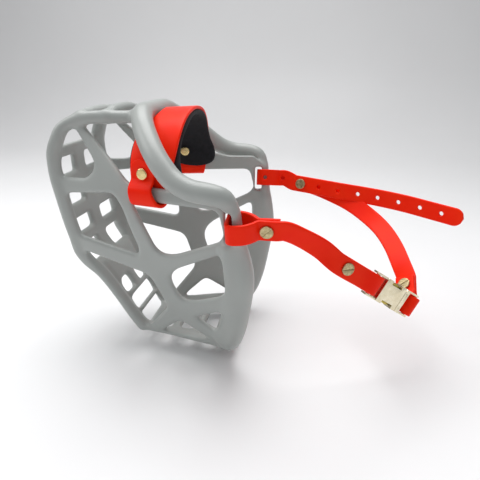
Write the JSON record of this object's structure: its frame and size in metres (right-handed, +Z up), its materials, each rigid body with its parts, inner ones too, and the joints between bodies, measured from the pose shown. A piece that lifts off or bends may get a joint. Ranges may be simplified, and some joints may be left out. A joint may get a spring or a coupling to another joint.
{
  "type": "basket muzzle",
  "caption": "Open moulded basket muzzle with a padded riveted noseband and a looped coated head strap that closes with a metal side-release buckle.",
  "frame": {"origin": "middle of the flat chin face that the muzzle stands on", "axes": "+Z up, nose towards -X, rear opening and strap towards +X, the basket mirrors about y = 0"},
  "size_m": [0.2851, 0.1594, 0.168],
  "materials": {
    "basket_plastic": "satin",
    "strap_coating": "glossy",
    "foam": "matte ribbed",
    "rivet_brass": "polished",
    "screw_brass": "antique",
    "buckle_metal": "satin",
    "prong_brass": "satin"
  },
  "bodies": {
    "basket": {"basket": "basket_plastic", "noseband_strap": "strap_coating", "noseband_foam": "foam", "rivet_cap_near": "rivet_brass", "rivet_cap_far": "rivet_brass", "rivet_back_near": "rivet_brass", "rivet_back_far": "rivet_brass"},
    "strap_loop": {"cheek_strap": "strap_coating", "head_strap": "strap_coating", "buckle_housing": "buckle_metal", "cheek_slot_post": "screw_brass", "cheek_slot_screw": "screw_brass", "cheek_buckle_post": "screw_brass", "cheek_buckle_screw": "screw_brass", "head_slot_post": "screw_brass", "head_slot_screw": "screw_brass"},
    "insert": {"buckle_insert": "buckle_metal", "head_strap_end": "strap_coating", "head_end_post": "screw_brass", "head_end_screw": "screw_brass", "prong_pins": "buckle_metal"},
    "prong_upper": {"prong_upper": "prong_brass"},
    "prong_lower": {"prong_lower": "prong_brass"}
  },
  "joints": [
    {"name": "strap_swing", "type": "hinge", "parent": "basket", "child": "strap_loop", "pos_m": [0.038, 0, 0.102], "axis": [0, -1, 0], "range_deg": [0, 8]},
    {"name": "insert_slide", "type": "slide", "parent": "strap_loop", "child": "insert", "axis": [0.75, 0.36, -0.555], "range_m": [0, 0.0125]},
    {"name": "prong_upper_turn", "type": "hinge", "parent": "insert", "child": "prong_upper", "pos_m": [0.14609, -0.03631, 0.05317], "axis": [0.4527, -0.891, 0.0338], "range_deg": [0, 17], "stiffness_Nm_per_rad": 0.03, "springref_deg": -11.46},
    {"name": "prong_lower_turn", "type": "hinge", "parent": "insert", "child": "prong_lower", "pos_m": [0.14126, -0.03908, 0.04485], "axis": [-0.4527, 0.891, -0.0338], "range_deg": [0, 17], "stiffness_Nm_per_rad": 0.03, "springref_deg": -11.46}
  ],
  "couplings": [
    {"joint": "prong_upper_turn", "follows": "insert_slide", "rad_per_m": 23.3},
    {"joint": "prong_lower_turn", "follows": "insert_slide", "rad_per_m": 23.3}
  ]
}
